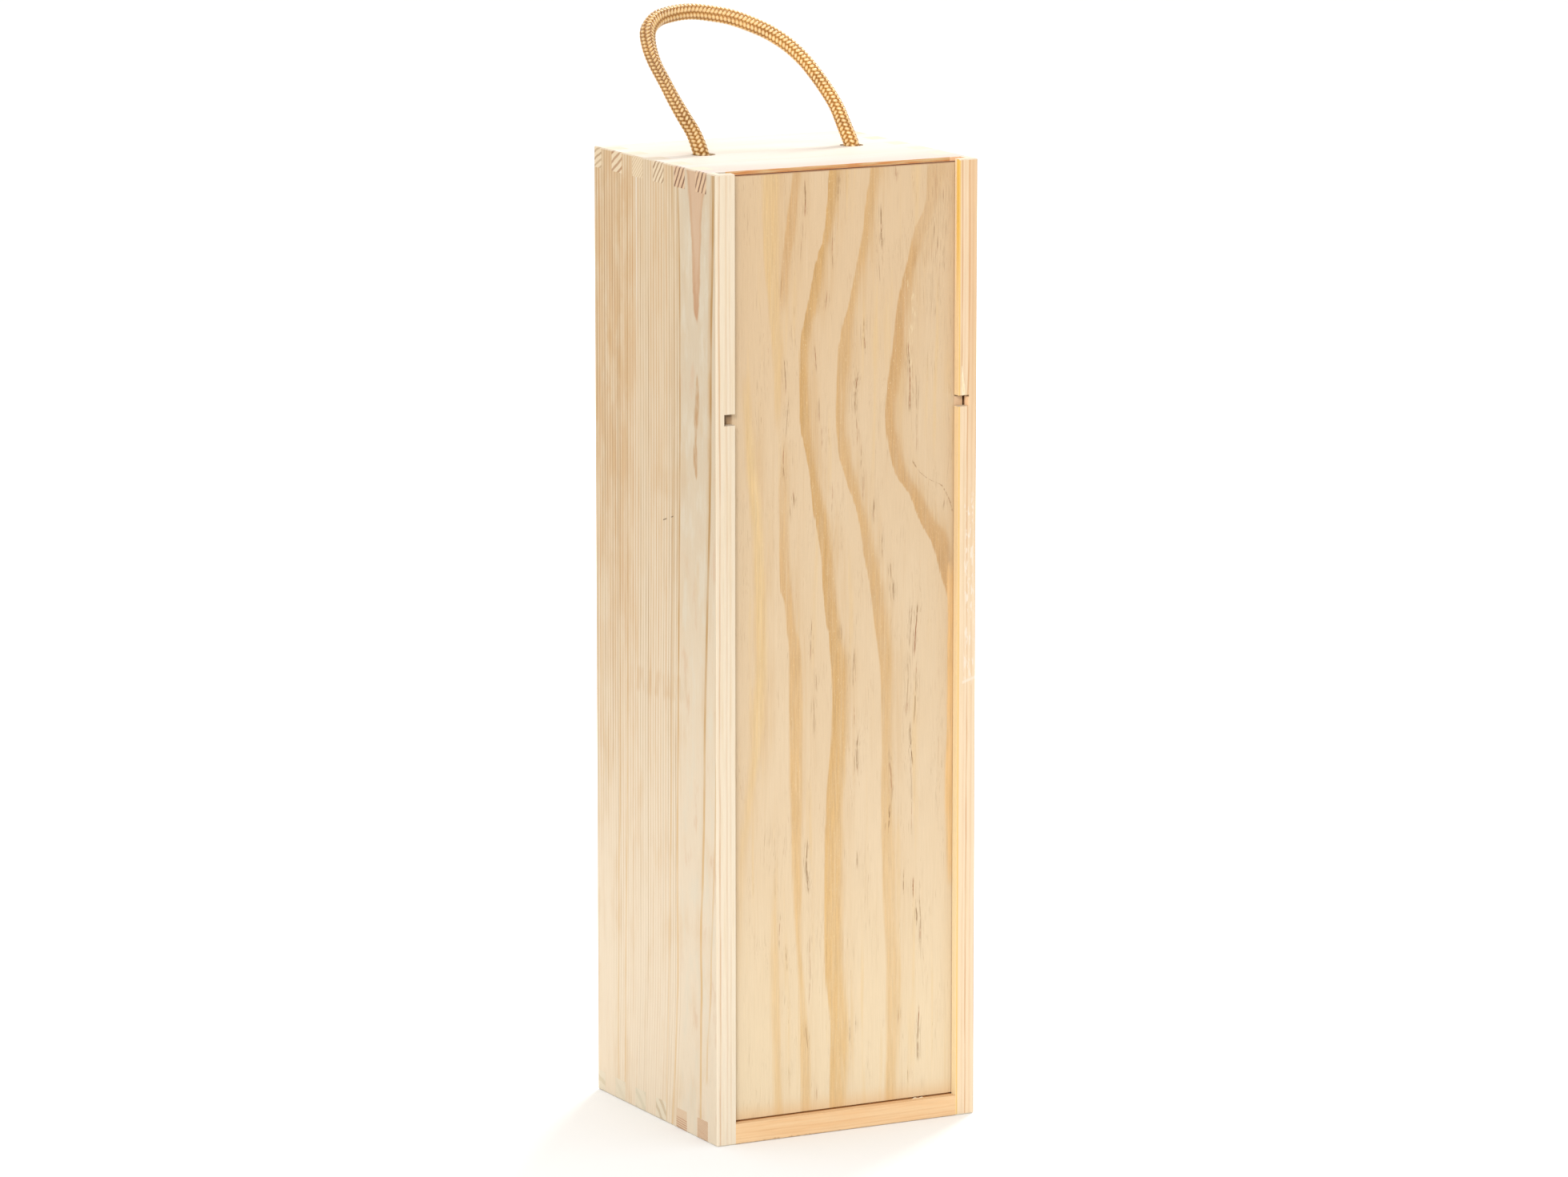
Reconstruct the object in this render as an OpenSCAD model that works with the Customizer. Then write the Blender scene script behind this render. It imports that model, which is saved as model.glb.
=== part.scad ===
// Wooden box for one wine bottle: finger-jointed boards, a lid that slides up out of
// two grooves, a back panel let into a rebate, and a rope handle knotted under the top.
// The origin is the middle of the box's base, +Z is up and the lid faces -Y.

/* [Box] */
// Width of the box over both side boards
box_w = 105; // [98:0.5:120]
// Depth of the box from its front edges to its back
box_d = 96; // [90:0.5:112]
// Height of the box
box_h = 350; // [330:1:400]
// Thickness of the side boards
side_t = 7.5; // [6.5:0.25:9]
// Thickness of the top board
top_t = 7.5; // [6:0.25:9]
// Thickness of the bottom board
bottom_t = 7.5; // [6:0.25:9]
// Chamfer sanded along the outer arrises
arris = 0.4; // [0.2:0.1:0.8]

/* [Finger joints] */
// Width of each finger, and of each gap between two fingers
finger_w = 8.25; // [6:0.25:11]
// Narrowest finger that is worth cutting at the back
finger_min = 2; // [1:0.5:4]

/* [Lid] */
// Thickness of the plywood lid
lid_t = 3.6; // [3:0.1:4.4]
// Wood left in front of each lid groove
lip_t = 3.2; // [2.5:0.1:4]
// Depth of each groove into its side board
groove_d = 4.3; // [3.4:0.1:5]
// Gap between each face of the lid and its groove
lid_play = 0.2; // [0.1:0.05:0.4]
// Gap between each edge of the lid and the bottom of its groove
lid_side_gap = 0.9; // [0.4:0.1:1.4]
// Gap between the lid and the bottom board that it stands on
lid_foot_gap = 0.3; // [0.2:0.1:0.6]
// How far the lid ends below the top of the box
lid_drop = 1.3; // [0:0.1:3]
// Chamfer along the ends of the lid
lid_ease = 0.3; // [0.1:0.1:0.8]
// Gap between the grooves and the front edge of the top board
top_edge_gap = 0.2; // [0.1:0.1:0.6]

/* [Notches] */
// Height of the notch through each front lip
notch_h = 4; // [2:0.5:8]
// Depth of each notch from the lip's inner arris
notch_d = 4.2; // [2:0.1:5]
// Distance from the top of the box down to the notches
notch_drop = 85; // [60:1:160]

/* [Back panel] */
// Thickness of the plywood back panel
back_t = 4; // [3:0.25:5.5]
// Width of the rebate that the back panel sits in
rebate_w = 3.5; // [3:0.1:4.5]
// Radius left by the router in the rebate's corners
rebate_r = 6; // [4:0.5:10]
// Gap between the back panel's edge and the rebate
back_play = 0.2; // [0.1:0.05:0.4]

/* [Brads] */
// Diameter of a brad's shank
brad_d = 1.2; // [0.9:0.1:1.4]
// Length of a brad under its head
brad_l = 14; // [10:1:18]
// Diameter of a brad's head
brad_head_d = 2.2; // [1.8:0.1:2.6]
// Thickness of a brad's head
brad_head_t = 0.7; // [0.5:0.1:1]
// How far the heads are punched below the back panel's face
brad_sink = 0.2; // [0.1:0.1:0.5]
// Distance from the ends of a side board to its first brad
brad_end = 30; // [20:1:60]
// Brads along each side board
brads_side = 4; // [2:1:6]
// Distance between the two brads in the top board, and in the bottom board
brad_pair_gap = 46; // [30:1:60]

/* [Rope handle] */
// Diameter of the rope
rope_d = 6; // [5:0.25:6.5]
// Diameter of the two rope holes in the top board
rope_hole_d = 8.5; // [8:0.25:9.5]
// Distance between the two rope holes
rope_hole_gap = 60; // [58:0.5:62]
// How far the pair of rope holes lies to the right of the middle
rope_x = 1; // [-4:0.5:4]
// How far the rope holes lie behind the middle of the box
rope_y = 7; // [-4:0.5:12]
// Width of the knots under the top board
knot_w = 17; // [15:0.5:20]
// Height of the knots
knot_h = 13; // [11:0.5:16]
// Length of the rope's loose end below each knot
rope_end_l = 8; // [4:0.5:14]
// Gap between the handle's round ends and the rope held in the holes
rope_gap = 0.3; // [0.2:0.05:0.5]

/* [Hidden] */

// How far a cut runs past the face that it opens
over = 1;

inner_w = box_w - 2 * side_t;
inner_h = box_h - top_t - bottom_t;
front_y = -box_d / 2;
back_y = box_d / 2;

groove_w = lid_t + 2 * lid_play;
groove_y = front_y + lip_t + groove_w / 2;
// The top board's front edge, which the lid passes as it slides up
top_front_y = front_y + lip_t + groove_w + top_edge_gap;

lid_w = inner_w + 2 * (groove_d - lid_side_gap);
lid_z = bottom_t + lid_foot_gap;
lid_h = box_h - lid_drop - lid_z;

// Front of each finger; the row starts flush with the top board's front edge
finger_starts = [for (y = top_front_y; y < back_y - finger_min; y = y + 2 * finger_w) y];

// Middle of the ledge that the back panel's edge is nailed to, from the cavity's edge
ledge_mid = (rebate_w - back_play) / 2;
brad_x = inner_w / 2 + ledge_mid;
brad_rise = box_h - 2 * brad_end;
brad_places = concat(
    [for (side = [-1, 1], i = [0 : brads_side - 1])
        [side * brad_x, brad_end + i * brad_rise / (brads_side - 1)]],
    [for (side = [-1, 1], z = [bottom_t - ledge_mid, box_h - top_t + ledge_mid])
        [side * brad_pair_gap / 2, z]]);

rope_r = rope_d / 2;
rope_left_x = rope_x - rope_hole_gap / 2;
rope_right_x = rope_x + rope_hole_gap / 2;

// The handle's middle line, from the left hole's mouth to the right one's, measured from
// the point midway between them: the loop stands up, leans back and bulges to the left
handle_route = [
    [-30, 0, 0], [-32.5, 3, 7], [-35, 6, 13], [-37.5, 10.5, 19], [-39, 15.5, 25],
    [-39.5, 21, 31], [-39, 26.5, 36.5], [-36.5, 31.5, 41.5], [-31, 35.5, 45],
    [-24, 37.5, 46.5], [-16, 38, 47], [-8, 37, 46], [-1, 35, 44.5], [5.5, 32.5, 42],
    [11.5, 29, 39], [17, 24.5, 35], [21, 20, 30.5], [24, 15.5, 25.5], [26, 11, 19.5],
    [27.5, 6.5, 13.5], [28.5, 3, 7], [30, 0, 0]];
// Sides of the rope's tube
rope_sides = 12;
// Square to the loop, so that no stretch of the route runs along it
loop_normal = [0, 0.78, -0.62];

function unit(v) = v / norm(v);

function heading(path, i) =
    unit(path[min(i + 1, len(path) - 1)] - path[max(i - 1, 0)]);

// One ring of points round a centre, square to the heading
function ring(centre, way, radius) =
    let (u = unit(cross(way, loop_normal)), v = cross(u, way))
    [for (k = [0 : rope_sides - 1])
        let (a = 360 * k / rope_sides)
        centre + radius * (cos(a) * u + sin(a) * v)];

// A tube of one radius along a path, with half-round ends centred on its two end points
function tube_rings(path, radius) =
    let (last = len(path) - 1, first_way = heading(path, 0), last_way = heading(path, last))
    concat(
        [for (a = [80, 55, 28])
            ring(path[0] - radius * sin(a) * first_way, first_way, radius * cos(a))],
        [for (i = [0 : last]) ring(path[i], heading(path, i), radius)],
        [for (a = [28, 55, 80])
            ring(path[last] + radius * sin(a) * last_way, last_way, radius * cos(a))]);

module tube(path, radius) {
    rings = tube_rings(path, radius);
    turns = len(rings);
    n = rope_sides;
    walls = [for (i = [0 : turns - 2], k = [0 : n - 1], half = [0, 1])
        let (a = i * n + k, b = i * n + (k + 1) % n)
        half == 0 ? [a, a + n, b] : [b, a + n, b + n]];
    start_cap = [[for (k = [0 : n - 1]) k]];
    end_cap = [[for (k = [n - 1 : -1 : 0]) (turns - 1) * n + k]];
    polyhedron([for (r = rings) each r], concat(walls, start_cap, end_cap));
}

// A rectangle round the origin whose four corners are cut off
module chamfered_rect(w, h, c) {
    polygon([
        [-w / 2 + c, -h / 2], [w / 2 - c, -h / 2], [w / 2, -h / 2 + c], [w / 2, h / 2 - c],
        [w / 2 - c, h / 2], [-w / 2 + c, h / 2], [-w / 2, h / 2 - c], [-w / 2, -h / 2 + c]]);
}

// A rectangle round the origin with round corners
module rounded_rect(w, h, r) {
    square([w - 2 * r, h], center = true);
    square([w, h - 2 * r], center = true);
    for (x = [-1, 1], y = [-1, 1])
        translate([x * (w / 2 - r), y * (h / 2 - r)]) circle(r, $fn = 48);
}

// The outside of the whole box, with every arris eased, as it is sanded after gluing
module eased_box() {
    intersection() {
        linear_extrude(box_h) chamfered_rect(box_w, box_d, arris);
        translate([0, back_y + over, box_h / 2]) rotate([90, 0, 0])
            linear_extrude(box_d + 2 * over) chamfered_rect(box_w, box_h, arris);
        translate([-box_w / 2 - over, 0, box_h / 2]) rotate([90, 0, 90])
            linear_extrude(box_w + 2 * over) chamfered_rect(box_d, box_h, arris);
    }
}

// Bars across the box, one for each finger pair, between two heights
module finger_bars(low, high, past = 0) {
    for (y = finger_starts) {
        finish = min(y + finger_w, back_y);
        past_back = finish == back_y ? past : 0;
        translate([-box_w / 2 - past, y, low])
            cube([box_w + 2 * past, finish - y + past_back, high - low]);
    }
}

// The two grooves, which run the full height of the side boards and out of their tops
module lid_grooves() {
    translate([0, groove_y, box_h / 2])
        cube([inner_w + 2 * groove_d, groove_w, box_h + 2 * over], center = true);
}

// A notch through both front lips, as far back as the grooves
module lip_notches() {
    translate([-inner_w / 2 - notch_d, front_y - over, box_h - notch_drop - notch_h])
        cube([inner_w + 2 * notch_d, over + lip_t + groove_w / 2, notch_h]);
}

// The outline of the back panel, or of its rebate, as a slab that ends at the box's back
module back_slab(gap, past) {
    translate([0, back_y + past, bottom_t + inner_h / 2]) rotate([90, 0, 0])
        linear_extrude(back_t + past)
            rounded_rect(inner_w + 2 * (rebate_w - gap), inner_h + 2 * (rebate_w - gap),
                rebate_r - gap);
}

// Every brad, or the hole that a brad fills, which runs out past the panel's face
module brads(past = 0) {
    for (place = brad_places)
        translate([place[0], back_y - brad_sink, place[1]]) rotate([90, 0, 0]) {
            translate([0, 0, -past]) cylinder(h = brad_head_t + past, d = brad_head_d, $fn = 32);
            cylinder(h = brad_l - brad_d, d = brad_d, $fn = 24);
            translate([0, 0, brad_l - brad_d])
                cylinder(h = brad_d, d1 = brad_d, d2 = brad_d / 4, $fn = 24);
        }
}

module side_board(side) {
    color("wheat")
        intersection() {
            eased_box();
            difference() {
                translate([side * (box_w - side_t) / 2, 0, box_h / 2])
                    cube([side_t, box_d, box_h], center = true);
                finger_bars(-over, bottom_t, over);
                finger_bars(box_h - top_t, box_h + over, over);
                lid_grooves();
                lip_notches();
                back_slab(0, over);
                brads();
            }
        }
}

module left_side() {
    side_board(-1);
}

module right_side() {
    side_board(1);
}

module top_board() {
    color("moccasin")
        intersection() {
            eased_box();
            difference() {
                union() {
                    translate([-inner_w / 2, top_front_y, box_h - top_t])
                        cube([inner_w, back_y - top_front_y, top_t]);
                    finger_bars(box_h - top_t, box_h);
                }
                for (x = [rope_left_x, rope_right_x])
                    translate([x, rope_y, box_h - top_t - over])
                        cylinder(h = top_t + 2 * over, d = rope_hole_d, $fn = 64);
                back_slab(0, over);
                brads();
            }
        }
}

module bottom_board() {
    color("navajowhite")
        intersection() {
            eased_box();
            difference() {
                union() {
                    translate([-inner_w / 2, front_y, 0]) cube([inner_w, box_d, bottom_t]);
                    finger_bars(0, bottom_t);
                }
                back_slab(0, over);
                brads();
            }
        }
}

module back_panel() {
    color("tan")
        difference() {
            back_slab(back_play, 0);
            brads(over);
        }
}

module back_brads() {
    color("silver") brads();
}

module sliding_lid() {
    color("burlywood")
        translate([-lid_w / 2, groove_y, lid_z + lid_h / 2]) rotate([90, 0, 90])
            linear_extrude(lid_w) chamfered_rect(lid_t, lid_h, lid_ease);
}

module rope_handle() {
    color("goldenrod")
        translate([rope_x, rope_y, box_h]) tube(handle_route, rope_r);
}

// A knot drawn up against the top board, with the rope above it in its hole and the loose
// end below it
module rope_knot(x) {
    wrap_r = 0.28 * knot_h;
    core_r = knot_w / 2 - wrap_r;
    held_l = top_t - rope_r - rope_gap;
    color("darkgoldenrod")
        translate([x, rope_y, box_h - top_t])
            rotate_extrude($fn = 64) {
                translate([0, -knot_h - rope_end_l])
                    square([rope_r, held_l + knot_h + rope_end_l]);
                translate([0, -knot_h]) square([core_r, knot_h]);
                for (z = [-wrap_r, -knot_h + wrap_r])
                    translate([core_r, z]) circle(wrap_r, $fn = 32);
            }
}

module rope_knot_left() {
    rope_knot(rope_left_x);
}

module rope_knot_right() {
    rope_knot(rope_right_x);
}

left_side();
right_side();
top_board();
bottom_board();
back_panel();
back_brads();
sliding_lid();
rope_handle();
rope_knot_left();
rope_knot_right();
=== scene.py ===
from functools import reduce
import math

import bpy
import numpy as np
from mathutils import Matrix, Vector


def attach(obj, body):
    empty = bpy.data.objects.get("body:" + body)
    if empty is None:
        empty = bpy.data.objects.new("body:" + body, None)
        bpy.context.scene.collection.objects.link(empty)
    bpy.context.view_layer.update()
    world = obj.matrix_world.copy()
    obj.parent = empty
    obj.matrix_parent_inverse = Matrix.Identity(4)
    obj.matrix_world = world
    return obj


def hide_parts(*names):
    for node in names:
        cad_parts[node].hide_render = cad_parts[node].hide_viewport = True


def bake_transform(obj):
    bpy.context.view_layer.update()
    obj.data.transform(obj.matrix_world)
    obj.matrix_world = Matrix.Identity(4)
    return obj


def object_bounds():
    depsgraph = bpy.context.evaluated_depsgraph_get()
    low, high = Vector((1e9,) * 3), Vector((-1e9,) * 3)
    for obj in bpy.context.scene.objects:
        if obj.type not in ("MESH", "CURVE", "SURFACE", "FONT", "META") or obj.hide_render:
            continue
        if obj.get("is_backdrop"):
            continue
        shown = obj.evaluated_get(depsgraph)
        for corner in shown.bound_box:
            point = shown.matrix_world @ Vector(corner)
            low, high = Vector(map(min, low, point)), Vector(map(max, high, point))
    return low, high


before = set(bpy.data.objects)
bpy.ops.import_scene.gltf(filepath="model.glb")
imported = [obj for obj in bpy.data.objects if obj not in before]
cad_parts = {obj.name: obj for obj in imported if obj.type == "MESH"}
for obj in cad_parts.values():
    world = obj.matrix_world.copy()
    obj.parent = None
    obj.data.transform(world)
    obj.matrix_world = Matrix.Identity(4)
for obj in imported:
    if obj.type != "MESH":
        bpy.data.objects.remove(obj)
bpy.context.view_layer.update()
scene = bpy.context.scene

MM = 0.001

# Box, in millimetres, as in the frame: x to the right, y to the back, z up.
HALF_W, HALF_D, HIGH = 52.5, 48.0, 350.0
BOARD = 7.5
LIP = 3.2  # from the groove to the board's outer face
NOTCH_LOW, NOTCH_HIGH = 261, 265
LID_FRONT, LID_BACK = -44.6, -41.0
PANEL_FRONT, PANEL = 44.0, 4.0
HOLE_LEFT, HOLE_RIGHT, HOLE_Y = -29.0, 31.0, 7.0
FINGER, PITCH, FINGER_END = 8.25, 16.5, 40.6  # FINGER_END is the front of the foremost finger, as -y
WOOD = 0.65  # the wood's colours are given as they look in the studio's light, which is brighter than 1


def srgb(r, g, b):
    """A colour given as 0-255 screen values, as linear light."""
    def one(v):
        v /= 255
        return v / 12.92 if v <= 0.04045 else ((v + 0.055) / 1.055) ** 2.4
    return (one(r), one(g), one(b), 1.0)


# ---- the photo's camera, fitted to the box's corners
camera = bpy.data.objects.new("camera", bpy.data.cameras.new("camera"))
scene.collection.objects.link(camera)
camera.location = (-1.23177, -2.33967, 0.67717)
aim = Vector((0.00113, 0.00262, 0.19047)) - camera.location
camera.rotation_euler = aim.to_track_quat("-Z", "Y").to_euler()
camera.data.sensor_width = 36
camera.data.lens = 170.44
camera.data.clip_end = 60
scene.camera = camera


# ---- node trees
class Val:
    """A number in a node tree. Arithmetic on it adds Math nodes."""

    def __init__(self, tree, socket):
        self.tree, self.socket = tree, socket

    def __rsub__(self, o):
        return self.tree.math("SUBTRACT", o, self)

    def ease(self, low, high, start=0.0, end=1.0):
        """start below low, end above high, and smooth between them."""
        node = self.tree.new("MapRange", enumerate((self, low, high, start, end)), interpolation_type="SMOOTHSTEP")
        return Val(self.tree, node.outputs[0])

    def fall(self, low, high):
        """1 below low, 0 above high, and smooth between them."""
        return self.ease(low, high, 1.0, 0.0)


def operation(kind):
    return lambda self, *other: self.tree.math(kind, self, *other)


for name, kind in (("__add__", "ADD"), ("__radd__", "ADD"), ("__sub__", "SUBTRACT"), ("__mul__", "MULTIPLY"),
                   ("__rmul__", "MULTIPLY"), ("__truediv__", "DIVIDE"), ("__abs__", "ABSOLUTE"), ("floor", "FLOOR"),
                   ("fract", "FRACT"), ("root", "SQRT"), ("over", "GREATER_THAN"), ("least", "MINIMUM"),
                   ("most", "MAXIMUM")):
    setattr(Val, name, operation(kind))


class Tree:
    """A material's node tree, with its place in the frame in millimetres as x, y, z."""

    def __init__(self, name):
        self.material = bpy.data.materials.new(name)
        self.material.use_nodes = True
        self.nodes, self.links = self.material.node_tree.nodes, self.material.node_tree.links
        self.nodes.clear()
        self.shader = self.new("BsdfPrincipled")
        out = self.new("OutputMaterial")
        self.links.new(self.shader.outputs[0], out.inputs[0])
        coords = self.new("TexCoord")
        self.x, self.y, self.z = (v * 1000.0 for v in self.split(coords.outputs["Object"]))
        self.nx, self.ny, self.nz = self.split(coords.outputs["Normal"])
        self.uv = coords.outputs["UV"]

    def new(self, kind, inputs=(), **settings):
        """A new shader node with its own settings, and with what goes into its sockets."""
        node = self.nodes.new("ShaderNode" + kind)
        for key, v in settings.items():
            setattr(node, key, v)
        return self.feed(node, inputs)

    def feed(self, node, inputs):
        for slot, v in dict(inputs).items():
            self.put(node.inputs[slot], v)
        return node

    def put(self, socket, v):
        """Links or sets a socket. A colour of three parts is in 0-255 screen values, one of four is linear light."""
        if isinstance(v, Val):
            self.links.new(v.socket, socket)
        elif isinstance(v, bpy.types.NodeSocket):
            self.links.new(v, socket)
        else:
            socket.default_value = srgb(*v) if isinstance(v, tuple) and len(v) == 3 else v

    def split(self, vector):
        return [Val(self, s) for s in self.new("SeparateXYZ", {0: vector}).outputs]

    def math(self, kind, a, b=None):
        inputs = {0: a} if b is None else {0: a, 1: b}
        return Val(self, self.new("Math", inputs, operation=kind).outputs[0])

    def vector(self, x, y=0.0, z=0.0):
        return self.new("CombineXYZ", enumerate((x, y, z))).outputs[0]

    def noise(self, x, y=0.0, z=0.0, detail=2.0, rough=0.5):
        """Smooth noise from 0 to 1 round 0.5. Its cells are about 1 wide in x, y and z."""
        where = self.vector(x, y, z)
        node = self.new("TexNoise", {"Vector": where, "Scale": 1.0, "Detail": detail, "Roughness": rough})
        return Val(self, node.outputs[0])

    def dice(self, number):
        """A fixed random number from 0 to 1 for each whole number."""
        return Val(self, self.new("TexWhiteNoise", {"W": number}, noise_dimensions="1D").outputs["Value"])

    def curve(self, v, points, corners=False):
        """The height of a line through (place, height) points at place v."""
        ins, outs = [p[0] for p in points], [p[1] for p in points]
        a, b, c, d = min(ins), max(ins), min(outs), max(outs)
        d = d if d > c else c + 1.0
        node = self.new("FloatCurve")
        line = node.mapping.curves[0]
        spots = sorted(((i - a) / (b - a), (o - c) / (d - c)) for i, o in points)
        while len(line.points) < len(spots):
            line.points.new(0.5, 0.5)
        for point, spot in zip(line.points, spots):
            point.location = spot
            point.handle_type = "VECTOR" if corners else "AUTO_CLAMPED"
        node.mapping.update()
        self.put(node.inputs["Value"], ((v - a) / (b - a)).most(0.0).least(1.0))
        return Val(self, node.outputs[0]) * (d - c) + c

    def mix(self, share, a, b, blend="MIX"):
        """The colour a with a share of b. The node's colour sockets are 6 and 7, and 2 on its way out."""
        return self.new("Mix", {0: share, 6: a, 7: b}, data_type="RGBA", blend_type=blend).outputs[2]

    def lay(self, colour, *coats):
        """The colour with other ones laid over it in turn, each as (share, colour)."""
        for share, coat in coats:
            colour = self.mix(share, colour, coat)
        return colour

    def times(self, colour, v):
        """The colour with each of its parts multiplied by v."""
        grey = self.new("CombineColor", enumerate((v, v, v)))
        return self.mix(1.0, colour, grey.outputs[0], "MULTIPLY")

    def finish(self, colour, rough, height, specular=0.22, shade=1.0):
        """Sets the shader. height is in millimetres, and shade scales the whole colour."""
        if isinstance(shade, Val) or shade != 1.0:
            colour = self.times(colour, shade)
        bump = self.new("Bump", {"Distance": MM, "Height": height}).outputs[0]
        self.feed(self.shader, {"Base Color": colour, "Roughness": rough, "Specular IOR Level": specular,
                                "Normal": bump})
        return self.material


def solid(name, points, faces, material):
    """A new object in the scene, from points in millimetres."""
    mesh = bpy.data.meshes.new(name)
    mesh.from_pydata((np.array(points) * MM).tolist(), [], faces)
    mesh.update()
    mesh.materials.append(material)
    piece = bpy.data.objects.new(name, mesh)
    scene.collection.objects.link(piece)
    return piece


def line(t, u, z, points, half, soft=0.5):
    """1 on a line whose place u at height z goes through (z, u) points."""
    off = abs(u - t.curve(z, points))
    return off.fall(half, half + soft)


def span(z, low, high, soft=4.0):
    """1 where z is between low and high."""
    return z.ease(low - soft, low) * z.fall(high, high + soft)


# ---- pine side boards
# Lines of the growth rings on the left side's face, as (height, distance in front of the middle).
SIDE_LINES = [
    # points, half width, strength
    ([(0, 12.5), (10, 13.5), (30, 15.5), (45, 16.5), (60, 17.3), (90, 17), (150, 18), (180, 18.5),
      (240, 19.7), (270, 20), (300, 20), (350, 18.5)], 0.24, 0.85),
    ([(0, 7.5), (12, 8), (30, 9), (50, 10), (70, 10.7), (95, 11.3), (120, 12.2), (180, 13.5),
      (240, 14.8), (300, 15.5), (350, 14.5)], 0.18, 0.5),
    ([(0, 34.8), (45, 35.6), (55, 36), (70, 35.5), (95, 37), (130, 38.5), (145, 38.7), (175, 40),
      (200, 41.3), (220, 42.5), (240, 43.3), (262, 43.8), (280, 44), (300, 44.5), (320, 45.5),
      (350, 46.2)], 0.42, 1),
    ([(0, -30.5), (30, -31), (50, -30.6), (90, -30), (110, -29), (160, -28.4), (230, -28.3),
      (290, -28), (350, -28)], 0.3, 0.45),
    ([(0, -25.5), (45, -25), (80, -24), (110, -23), (150, -22.3), (200, -22), (240, -22),
      (350, -21)], 0.22, 0.5),
]
SIDE_LOW_LINE = [(20, 39.7), (25, 40), (35, 40.5), (45, 42), (55, 43), (70, 43.7), (80, 44.5),
                 (95, 45.5), (110, 46.5), (140, 47.8)]
V_LEFT = [(296, 33.2), (302, 31), (312, 30.4), (320, 30), (328, 29), (336, 28), (350, 25.4)]
V_RIGHT = [(296, 33.8), (302, 34.7), (312, 35.6), (320, 36), (335, 37.2), (345, 40), (350, 41)]
STREAK_PLACE = [(240, 32.6), (250, 31.8), (256, 32.4), (262, 32.6), (270, 33.6), (279, 33.3)]
STREAK_WIDE = [(239, -0.6), (243, 0.9), (249, 1.4), (254, 0.6), (257, 0.6), (262, 1.6), (272, 1.1), (279, -0.6)]


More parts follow.
